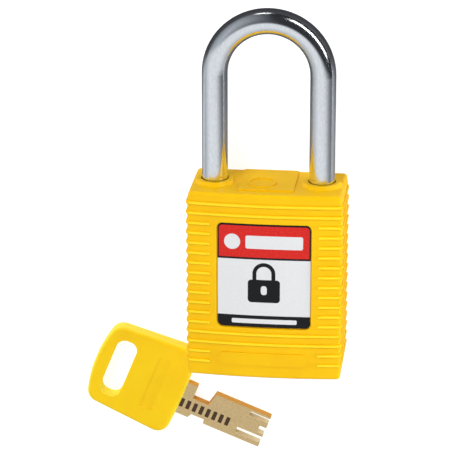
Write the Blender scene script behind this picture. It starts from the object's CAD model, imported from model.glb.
"""Looks for the safety lockout padlock and its key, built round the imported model.

Metres, in the row's frame: the padlock lies on its back on z = 0, +Y towards the shackle, +Z out of
the front. Every CAD piece keeps its mesh and gets a procedural material here; the label's print and
the ticks etched on the key are masks in their materials. The stage is a floor, a world and lights.
"""
import math

import bmesh
import bpy
from mathutils import Matrix, Vector

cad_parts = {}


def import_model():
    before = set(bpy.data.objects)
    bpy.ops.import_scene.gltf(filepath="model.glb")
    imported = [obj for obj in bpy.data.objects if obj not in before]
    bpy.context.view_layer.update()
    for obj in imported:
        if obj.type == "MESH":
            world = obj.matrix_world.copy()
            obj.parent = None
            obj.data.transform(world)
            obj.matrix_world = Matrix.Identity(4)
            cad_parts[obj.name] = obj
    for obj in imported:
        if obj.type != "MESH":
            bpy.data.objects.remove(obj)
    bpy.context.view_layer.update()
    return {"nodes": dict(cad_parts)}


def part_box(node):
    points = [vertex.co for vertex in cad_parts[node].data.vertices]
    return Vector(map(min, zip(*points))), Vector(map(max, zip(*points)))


MM = 0.001
# the crowned front is part of a cylinder along Y; the ribs' crests stand this far proud of it
CROWN_RADIUS, CROWN_Z = 168 * MM, -148 * MM
CREST_START, CREST_FULL, CREST_RUB = 0.31 * MM, 0.40 * MM, 0.75
# how much a face looks up (the z of its normal) at the ends of the bow's rounded rim
RIM_SIDE, RIM_TOP, RIM_RUB = 0.5, 0.97, 0.85
# the key's own frame: the middle of the bow's end, and the turn of its blade
KEY_X, KEY_Y, KEY_ANGLE = -22.5 * MM, -36.9 * MM, math.radians(-22)
# the row of etched ticks, along and across the blade
TICKS, TICK_START, TICK_PITCH, TICK_LINE = 8, -0.5 * MM, 1.83 * MM, -2.25 * MM
TICK_WIDTH, TICK_HEIGHT, TICK_ROUND = 1.05 * MM, 2.5 * MM, 0.2 * MM
# the part of the blade's tip that is slotted
SLOTS_START, BLADE_MIDDLE, SLOTS_REACH = 15 * MM, -1.0 * MM, 4.4 * MM
# the blade's cut edges turn into its flat face between these slopes, and are less metallic
CUT_SIDE, CUT_TOP, CUT_METALLIC = 0.5, 0.8, 0.35
# the label's print in mm: left, right, low, top and corner radius. Blocks in the header are
# measured from the label's top edge, the bar in the footer from its bottom edge, the rest from
# its middle
HEADER_SIDE, HEADER_TOP, HEADER_ROUND, HEADER_LOW = 0.3, 0.38, 0.9, 8.6
FIELD_TOP, FIELD_LOW, SQUARE, OUTSIDE = 9.1, 3.1, 0.05, 1.0
DISC = (-9.9, -5.9, -6.6, -2.6, 2.0)
HEADER_BAR = (-4.6, 9.6, -6.3, -2.9, 0.5)
FOOT_BAR = (-8.0, 8.2, 0.95, 2.15, 0.35)
SIGN_CASE = (-4.0, 4.0, -6.9, -0.9, 0.9)
SIGN_HOLE = (-0.75, 0.75, -4.9, -2.5, 0.7)
LOOP_LINE, LOOP_RADIUS, LOOP_HALF_WIDTH, LOOP_LOW, LOOP_FULL = 0.7, 2.35, 0.5, -1.5, -1.4
PRINT_EDGE = 0.04
# most of a noise texture's values are between these
NOISE_LOW, NOISE_HIGH = 0.3, 0.7
# the stage: brightness of the surroundings, the floor's glow and half its side
WORLD, FLOOR_GLOW, FLOOR_HALF = 0.85, 0.80, 1.5
# the floor as the steel mirrors it: a dim card this near the bar's middle line, and dark from
# BEYOND_START to BEYOND_FULL, in half widths of the shackle below its top
BAR_RADIUS, CARD_FULL, CARD_END = 3.2 * MM, 14 * MM, 21 * MM
BEYOND_START, BEYOND_FULL = 2.2, 0.6

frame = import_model()
NODES = frame["nodes"]


def middle_and_half(node):
    """Middle and half size of a CAD node's box."""
    low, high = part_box(node)
    return (low + high) / 2, (high - low) / 2


# ---------------------------------------------------------------- shader nodes
class Shader:
    """A small wrapper round one material's node tree."""

    def __init__(self, name, **settings):
        self.material = bpy.data.materials.new(name)
        self.material.use_nodes = True
        self.tree = self.material.node_tree
        self.surface = self.tree.nodes["Principled BSDF"]
        for label, value in settings.items():
            self.surface.inputs[label.replace("_", " ")].default_value = value
        self.place = self.add("ShaderNodeTexCoord").outputs["Object"]

    def add(self, kind, **settings):
        node = self.tree.nodes.new(kind)
        for label, value in settings.items():
            setattr(node, label, value)
        return node

    def join(self, source, target):
        self.tree.links.new(source, target)

    def fill(self, target, value):
        """Set a socket to a number, a colour or another node's output."""
        if isinstance(value, bpy.types.NodeSocket):
            self.join(value, target)
        else:
            target.default_value = value

    def math(self, operation, first, second=0.0):
        node = self.add("ShaderNodeMath", operation=operation)
        for socket, value in zip(node.inputs, (first, second)):
            self.fill(socket, value)
        return node.outputs[0]

    def length(self, x, y):
        """Length of the flat vector (x, y)."""
        squares = [self.math("POWER", value, 2.0) for value in (x, y)]
        return self.math("SQRT", self.math("ADD", *squares))

    def gap(self, value, middle):
        """Distance of a value from a middle, either way."""
        return self.math("ABSOLUTE", self.math("SUBTRACT", value, middle))

    def axes(self, source=None):
        """The x, y and z of a vector, the object's own coordinates by default."""
        node = self.add("ShaderNodeSeparateXYZ")
        self.join(source or self.place, node.inputs[0])
        return node.outputs[0], node.outputs[1], node.outputs[2]

    def facing(self):
        """How much the surface looks up: the z of its normal."""
        return self.axes(self.add("ShaderNodeNewGeometry").outputs["Normal"])[2]

    def noise(self, size, detail=3.0, rough=0.55, stretch=(1, 1, 1)):
        """Noise whose features are about size metres, stretched along an axis."""
        mapping = self.add("ShaderNodeMapping")
        mapping.inputs["Scale"].default_value = [1 / s for s in stretch]
        self.join(self.place, mapping.inputs["Vector"])
        node = self.add("ShaderNodeTexNoise")
        self.join(mapping.outputs[0], node.inputs["Vector"])
        node.inputs["Scale"].default_value = 1 / size
        node.inputs["Detail"].default_value = detail
        node.inputs["Roughness"].default_value = rough
        return node.outputs["Fac"]

    def spread(self, value, low=NOISE_LOW, high=NOISE_HIGH, start=0.0, stop=1.0):
        """Map value from low..high to start..stop."""
        node = self.add("ShaderNodeMapRange")
        for socket, number in zip(node.inputs, (value, low, high, start, stop)):
            self.fill(socket, number)
        return node.outputs[0]

    def mix(self, amount, first, second):
        node = self.add("ShaderNodeMix", data_type="RGBA")
        self.fill(node.inputs["Factor"], amount)
        for socket, colour in ((node.inputs["A"], first), (node.inputs["B"], second)):
            self.fill(socket, colour)
        return node.outputs["Result"]

    def bump(self, height, strength, distance):
        node = self.add("ShaderNodeBump")
        node.inputs["Strength"].default_value = strength
        node.inputs["Distance"].default_value = distance
        self.join(height, node.inputs["Height"])
        self.put("Normal", node.outputs[0])

    def rounded(self, x, y, left, right, low, top, corner):
        """Distance outside a rounded rectangle, negative inside it."""
        out = []
        for value, first, last in ((x, left, right), (y, low, top)):
            straight = (last - first) / 2 - corner
            past = self.math("SUBTRACT", self.gap(value, (first + last) / 2), straight)
            out.append(self.math("MAXIMUM", past, 0.0))
        return self.math("SUBTRACT", self.length(*out), corner)

    def inside(self, distance, soft):
        """1 where the distance is negative, 0 where it is positive, over a soft edge."""
        return self.spread(distance, -soft, soft, 1.0, 0.0)

    def put(self, label, value):
        self.fill(self.surface.inputs[label], value)


def linear(red, green, blue):
    """A display colour, 0 to 255, as a linear RGBA."""
    def one(value):
        value /= 255.0
        return value / 12.92 if value <= 0.04045 else ((value + 0.055) / 1.055) ** 2.4
    return (one(red), one(green), one(blue), 1.0)


def wear(*names, shader):
    """Give CAD nodes one material."""
    for name in names:
        data = NODES[name].data
        data.materials.clear()
        data.materials.append(shader.material)


# ---------------------------------------------------------------- materials
def nylon(name, bright, deep, crest, rubbed):
    """Moulded nylon: a fine spark-eroded skin with slow changes of tone. crest(shader) is a mask
    of the parts that hands have rubbed brighter."""
    s = Shader(name, Roughness=0.40, IOR=1.53, Specular_IOR_Level=0.2, Subsurface_Weight=0.05,
               Subsurface_Radius=(0.004, 0.002, 0.0005), Subsurface_Scale=0.3)
    colour = s.mix(s.spread(s.noise(9 * MM, detail=2.0)), bright, deep)
    s.put("Base Color", s.mix(crest(s), colour, rubbed))
    fine = s.noise(0.22 * MM, detail=4.0, rough=0.6)
    s.put("Roughness", s.spread(fine, start=0.34, stop=0.48))
    s.bump(fine, strength=0.25, distance=0.03 * MM)
    return s


def rib_crests(s):
    """How far a point stands proud of the crowned front: full on the ribs' crests."""
    x, _, z = s.axes()
    radius = s.length(x, s.math("SUBTRACT", z, CROWN_Z))
    return s.spread(radius, CROWN_RADIUS + CREST_START, CROWN_RADIUS + CREST_FULL, 0.0, CREST_RUB)


def bow_rim(s):
    """The rounded edges of the key's bow, where it is a little lighter."""
    return s.spread(s.facing(), RIM_SIDE, RIM_TOP, RIM_RUB, 0.0)


def steel(name, colour, rough, grain, stretch=(1, 1, 1), rough_span=0.06, depth=0.12):
    """Plated, cast or drawn metal, with faint rubs along its length."""
    s = Shader(name, Metallic=1.0)
    rubs = s.noise(grain, detail=5.0, rough=0.65, stretch=stretch)
    dark = [channel * 0.9 for channel in colour[:3]] + [1.0]
    s.put("Base Color", s.mix(s.spread(rubs, 0.35, 0.75), colour, dark))
    s.put("Roughness", s.spread(rubs, start=rough, stop=rough + rough_span))
    s.bump(rubs, strength=depth, distance=0.02 * MM)
    return s


def key_axes(s):
    """Distances along the key's blade from the bow's end, and across it."""
    x, y, _ = s.axes()
    right, up = s.math("SUBTRACT", x, KEY_X), s.math("SUBTRACT", y, KEY_Y)
    cos, sin = math.cos(KEY_ANGLE), math.sin(KEY_ANGLE)
    along = s.math("ADD", s.math("MULTIPLY", right, cos), s.math("MULTIPLY", up, sin))
    across = s.math("SUBTRACT", s.math("MULTIPLY", up, cos), s.math("MULTIPLY", right, sin))
    return along, across


def key_metal():
    """Nickel silver: a fine speckled satin face, warm cut edges and a row of etched ticks."""
    s = Shader("key_metal")
    speck = s.noise(0.25 * MM, rough=0.7)
    face = s.mix(s.spread(speck, 0.35, 0.7), linear(246, 216, 160), linear(214, 178, 120))
    along, across = key_axes(s)
    facing = s.facing()
    # the slots cut in the tip are left pale, the long edges are warm
    slots = s.math("MULTIPLY", s.math("GREATER_THAN", along, SLOTS_START),
                   s.math("LESS_THAN", s.gap(across, BLADE_MIDDLE), SLOTS_REACH))
    edge = s.mix(slots, linear(238, 176, 78), linear(250, 232, 190))
    metal = s.mix(s.spread(facing, CUT_SIDE, CUT_TOP), edge, face)
    # equal ticks: the distance along is folded into one pitch, with a tick's middle at its end
    fold = s.math("PINGPONG", s.math("SUBTRACT", along, TICK_START), TICK_PITCH / 2)
    tick = s.inside(s.rounded(fold, across, (TICK_PITCH - TICK_WIDTH) / 2,
                              (TICK_PITCH + TICK_WIDTH) / 2, TICK_LINE - TICK_HEIGHT / 2,
                              TICK_LINE + TICK_HEIGHT / 2, TICK_ROUND), 0.03 * MM)
    half_row = TICKS * TICK_PITCH / 2
    row = s.math("LESS_THAN", s.gap(along, TICK_START + half_row), half_row)
    etched = s.math("MULTIPLY", s.math("MULTIPLY", tick, row), s.spread(facing, 0.8, 0.9))
    s.put("Base Color", s.mix(etched, metal, linear(70, 48, 26)))
    cut = s.spread(facing, CUT_SIDE, CUT_TOP, CUT_METALLIC, 1.0)
    bare = s.math("SUBTRACT", 1.0, s.math("MULTIPLY", etched, 0.7))
    s.put("Metallic", s.math("MULTIPLY", cut, bare))
    s.put("Roughness", s.spread(speck, start=0.26, stop=0.42))
    s.bump(speck, strength=0.25, distance=0.02 * MM)
    return s


def label_print():
    """The front label: a red header with a plain disc and bar, a pale field with a padlock sign,
    and a black footer with a plain bar."""
    s = Shader("label_film", IOR=1.5, Specular_IOR_Level=0.25)
    middle, half = middle_and_half("front_label")
    x, y, _ = s.axes()
    x, y = (s.math("MULTIPLY", s.math("SUBTRACT", value, centre), 1 / MM)
            for value, centre in ((x, middle.x), (y, middle.y)))
    wide, high = half.x / MM, half.y / MM
    ink, white, red = linear(12, 12, 15), linear(219, 219, 219), linear(206, 34, 26)

    def block(left, right, low, top, corner, base=0.0):
        """A rounded rectangle, its low and top measured from base."""
        return s.inside(s.rounded(x, y, left, right, base + low, base + top, corner), PRINT_EDGE)

    header = s.math("MULTIPLY",
                    block(HEADER_SIDE - wide, wide - HEADER_SIDE, 0.0, high - HEADER_TOP,
                          HEADER_ROUND),
                    block(-wide, wide, high - HEADER_LOW, high + OUTSIDE, SQUARE))
    field = block(-wide - OUTSIDE, wide + OUTSIDE, FIELD_LOW - high, high - FIELD_TOP, SQUARE)
    header_marks = s.math("MAXIMUM", block(*DISC, base=high), block(*HEADER_BAR, base=high))
    # the padlock sign: a rounded block under a loop
    above = s.math("MAXIMUM", s.math("SUBTRACT", y, LOOP_LINE), 0.0)
    off_loop = s.math("SUBTRACT", s.gap(s.length(x, above), LOOP_RADIUS), LOOP_HALF_WIDTH)
    loop = s.math("MULTIPLY", s.inside(off_loop, PRINT_EDGE), s.spread(y, LOOP_LOW, LOOP_FULL))
    sign = s.math("MULTIPLY", s.math("MAXIMUM", block(*SIGN_CASE), loop),
                  s.math("SUBTRACT", 1.0, block(*SIGN_HOLE)))
    streak = s.spread(s.noise(1.6 * MM, rough=0.6, stretch=(1, 9, 1)), start=0.0, stop=0.06)
    colour = s.mix(field, ink, s.mix(streak, white, linear(200, 200, 201)))
    colour = s.mix(header, colour, red)
    colour = s.mix(s.math("MULTIPLY", header_marks, header), colour, white)
    colour = s.mix(block(*FOOT_BAR, base=-high), colour, white)
    s.put("Base Color", s.mix(sign, colour, ink))
    skin = s.noise(0.5 * MM, rough=0.6)
    s.put("Roughness", s.spread(skin, start=0.20, stop=0.32))
    s.bump(skin, strength=0.06, distance=0.02 * MM)
    return s


def plain_film():
    """The plain label on the back."""
    s = Shader("plain_label")
    speck = s.noise(0.5 * MM, rough=0.6)
    s.put("Base Color", s.mix(s.spread(speck), linear(228, 229, 228), linear(221, 222, 222)))
    s.put("Roughness", s.spread(speck, start=0.22, stop=0.34))
    return s


def paint():
    wear("body_shell", "base_cover", shader=nylon(
        "yellow_nylon", bright=linear(243, 192, 0), deep=linear(238, 185, 0), crest=rib_crests,
        rubbed=linear(255, 226, 40)))
    wear("key_bow", shader=nylon(
        "key_nylon", bright=linear(246, 204, 10), deep=linear(242, 196, 8), crest=bow_rim,
        rubbed=linear(255, 238, 70)))
    wear("shackle", shader=steel(
        "plated_steel", linear(245, 248, 250), rough=0.14, grain=0.35 * MM, stretch=(1, 3, 1),
        rough_span=0.05, depth=0.07))
    wear("cover_screws", "heel_retaining_pin", "barrel_pin", "spring_seat", shader=steel(
        "zinc_steel", linear(196, 198, 200), rough=0.28, grain=0.3 * MM))
    wear("shackle_spring", "plug_clip", "upper_slider_spring", "middle_slider_spring",
         "lower_slider_spring", shader=steel(
             "spring_steel", linear(150, 152, 156), rough=0.30, grain=0.2 * MM))
    wear("heel_ball", "toe_ball", shader=steel(
        "bearing_steel", linear(215, 215, 218), rough=0.08, grain=0.4 * MM))
    wear("cylinder_barrel", "ball_guide", "actuator_cam", shader=steel(
        "cast_zinc", linear(168, 168, 168), rough=0.42, grain=0.25 * MM))
    wear("plug", "upper_slider", "middle_slider", "lower_slider", shader=steel(
        "lock_brass", linear(214, 178, 105), rough=0.24, grain=0.3 * MM, stretch=(1, 6, 1),
        rough_span=0.05, depth=0.04))
    wear("key_blade", shader=key_metal())
    wear("front_label", shader=label_print())
    wear("back_label", shader=plain_film())


# ---------------------------------------------------------------- stage
def floor():
    """A large pale floor under the padlock and the key. Mirrored in the steel, it is dark close
    to the shackle, as a black card under the bar would make it."""
    mesh = bpy.data.meshes.new("floor")
    grid = bmesh.new()
    bmesh.ops.create_grid(grid, x_segments=4, y_segments=4, size=FLOOR_HALF)
    grid.to_mesh(mesh)
    grid.free()
    obj = bpy.data.objects.new("floor", mesh)
    bpy.context.scene.collection.objects.link(obj)
    s = Shader("floor_paper", Roughness=0.75)
    pale = s.mix(s.spread(s.noise(60 * MM)), (0.39, 0.39, 0.39, 1.0), (0.41, 0.41, 0.41, 1.0))
    x, y, _ = s.axes()
    low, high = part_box("shackle")
    bend = (high.x - low.x) / 2
    past = s.math("MAXIMUM", s.math("SUBTRACT", y, high.y - bend), 0.0)
    off = s.gap(s.length(x, past), bend - BAR_RADIUS)
    card = s.spread(off, CARD_FULL, CARD_END, 1.0, 0.0)
    beyond = s.spread(y, high.y - BEYOND_START * bend, high.y - BEYOND_FULL * bend)
    side = s.mix(s.spread(x, -bend, bend), (0.50, 0.53, 0.57, 1.0), (0.30, 0.31, 0.34, 1.0))
    near = s.mix(card, side, (0.20, 0.21, 0.23, 1.0))
    shade = s.mix(beyond, near, (0.03, 0.03, 0.035, 1.0))
    mirrored = s.add("ShaderNodeLightPath").outputs["Is Glossy Ray"]
    s.put("Base Color", s.mix(mirrored, pale, shade))
    s.put("Emission Color", (1, 1, 1, 1))
    s.put("Emission Strength", s.spread(mirrored, 0.0, 1.0, FLOOR_GLOW, 0.0))
    mesh.materials.append(s.material)


def world():
    """Pale studio surroundings: brightest overhead, dimmer at the horizon, dark beyond the
    shackle."""
    surroundings = bpy.data.worlds.new("studio")
    bpy.context.scene.world = surroundings
    surroundings.use_nodes = True
    tree = surroundings.node_tree
    background = tree.nodes["Background"]
    place = tree.nodes.new("ShaderNodeTexCoord")
    parts = tree.nodes.new("ShaderNodeSeparateXYZ")
    tree.links.new(place.outputs["Generated"], parts.inputs[0])

    def fill(socket, value):
        if isinstance(value, bpy.types.NodeSocket):
            tree.links.new(value, socket)
        else:
            socket.default_value = value

    def ramp(source, stops):
        node = tree.nodes.new("ShaderNodeValToRGB")
        tree.links.new(source, node.inputs["Fac"])
        for element, (position, colour) in zip(node.color_ramp.elements, stops):
            element.position = position
            element.color = (*colour, 1)
        return node.outputs["Color"]

    def multiply_add(*values):
        node = tree.nodes.new("ShaderNodeMath")
        node.operation = "MULTIPLY_ADD"
        for socket, value in zip(node.inputs, values):
            fill(socket, value)
        return node.outputs[0]

    def blend(kind, first, second, amount=1.0):
        node = tree.nodes.new("ShaderNodeMix")
        node.data_type, node.blend_type = "RGBA", kind
        for label, value in (("Factor", amount), ("A", first), ("B", second)):
            fill(node.inputs[label], value)
        return node.outputs["Result"]

    # darkest beyond the shackle and to the right of it, and more of it in what the steel mirrors
    rays = tree.nodes.new("ShaderNodeLightPath").outputs
    mirrored = rays["Is Glossy Ray"]
    lean = multiply_add(parts.outputs["X"], multiply_add(mirrored, -0.55, 0.8),
                        parts.outputs["Y"])
    shifted = multiply_add(lean, multiply_add(mirrored, 0.6, 1.0),
                           multiply_add(mirrored, 0.42, 0.0))
    beyond = ramp(shifted, ((0.10, (1.0, 1.0, 1.0)), (0.44, (0.0, 0.0, 0.0))))
    left = ramp(multiply_add(parts.outputs["X"], -1.0, 0.0),
                ((0.02, (0.03, 0.03, 0.035)), (0.62, (0.56, 0.58, 0.61))))
    overhead = ramp(parts.outputs["Z"], ((0.0, (0.42, 0.44, 0.47)), (0.75, (0.88, 0.91, 0.95))))
    colour = blend("MULTIPLY", overhead, blend("LIGHTEN", beyond, left))
    # seen directly, the surroundings are a plain white backdrop
    white = (1 / WORLD, 1 / WORLD, 1 / WORLD, 1)
    tree.links.new(blend("MIX", colour, white, rays["Is Camera Ray"]), background.inputs["Color"])
    background.inputs["Strength"].default_value = WORLD


def area_light(name, place, size, power, mirrored=True):
    """A rectangular light aimed at the padlock's middle, seen in the steel or not."""
    data = bpy.data.lights.new(name, "AREA")
    data.shape = "RECTANGLE"
    data.size, data.size_y = size
    data.energy = power
    obj = bpy.data.objects.new(name, data)
    obj.location = Vector(place)
    obj.visible_glossy = mirrored
    aim = Vector((0, 0.01, 0.01))
    obj.rotation_euler = (aim - Vector(place)).to_track_quat("-Z", "Y").to_euler()
    bpy.context.scene.collection.objects.link(obj)


def lights():
    area_light("key_light", (-0.24, 0.44, 0.56), size=(0.4, 0.4), power=3.3, mirrored=False)
    area_light("fill_light", (0.40, -0.20, 0.50), size=(0.4, 0.4), power=0.75, mirrored=False)
    area_light("side_light", (0.50, 0.00, 0.09), size=(0.3, 0.12), power=1.45, mirrored=False)
    area_light("strip_light", (0.31, 0.28, 0.20), size=(0.45, 0.08), power=0.5)
    area_light("arch_light", (-0.10, 0.56, 0.03), size=(0.14, 0.04), power=0.06)


def camera():
    """At arm's length, above the front and tipped towards the shackle end."""
    away, tip, lean = math.radians(6.89), math.radians(19.69), math.radians(0.08)
    distance, target = 0.600, Vector((-0.01081, 0.01262, 0.010))
    back = Vector((math.sin(away) * math.cos(tip), math.sin(tip), math.cos(away) * math.cos(tip)))
    right = Vector((0, 1, 0)).cross(back).normalized()
    right.rotate(Matrix.Rotation(-lean, 3, back))
    up = back.cross(right)
    data = bpy.data.cameras.new("camera")
    data.lens, data.sensor_width, data.clip_start = 192.38, 36.0, 0.01
    obj = bpy.data.objects.new("camera", data)
    obj.matrix_world = Matrix.Translation(target + distance * back) @ Matrix(
        (right, up, back)).transposed().to_4x4()
    bpy.context.scene.collection.objects.link(obj)
    bpy.context.scene.camera = obj


paint()
floor()
world()
lights()
camera()
bpy.context.scene.view_settings.view_transform = "Standard"
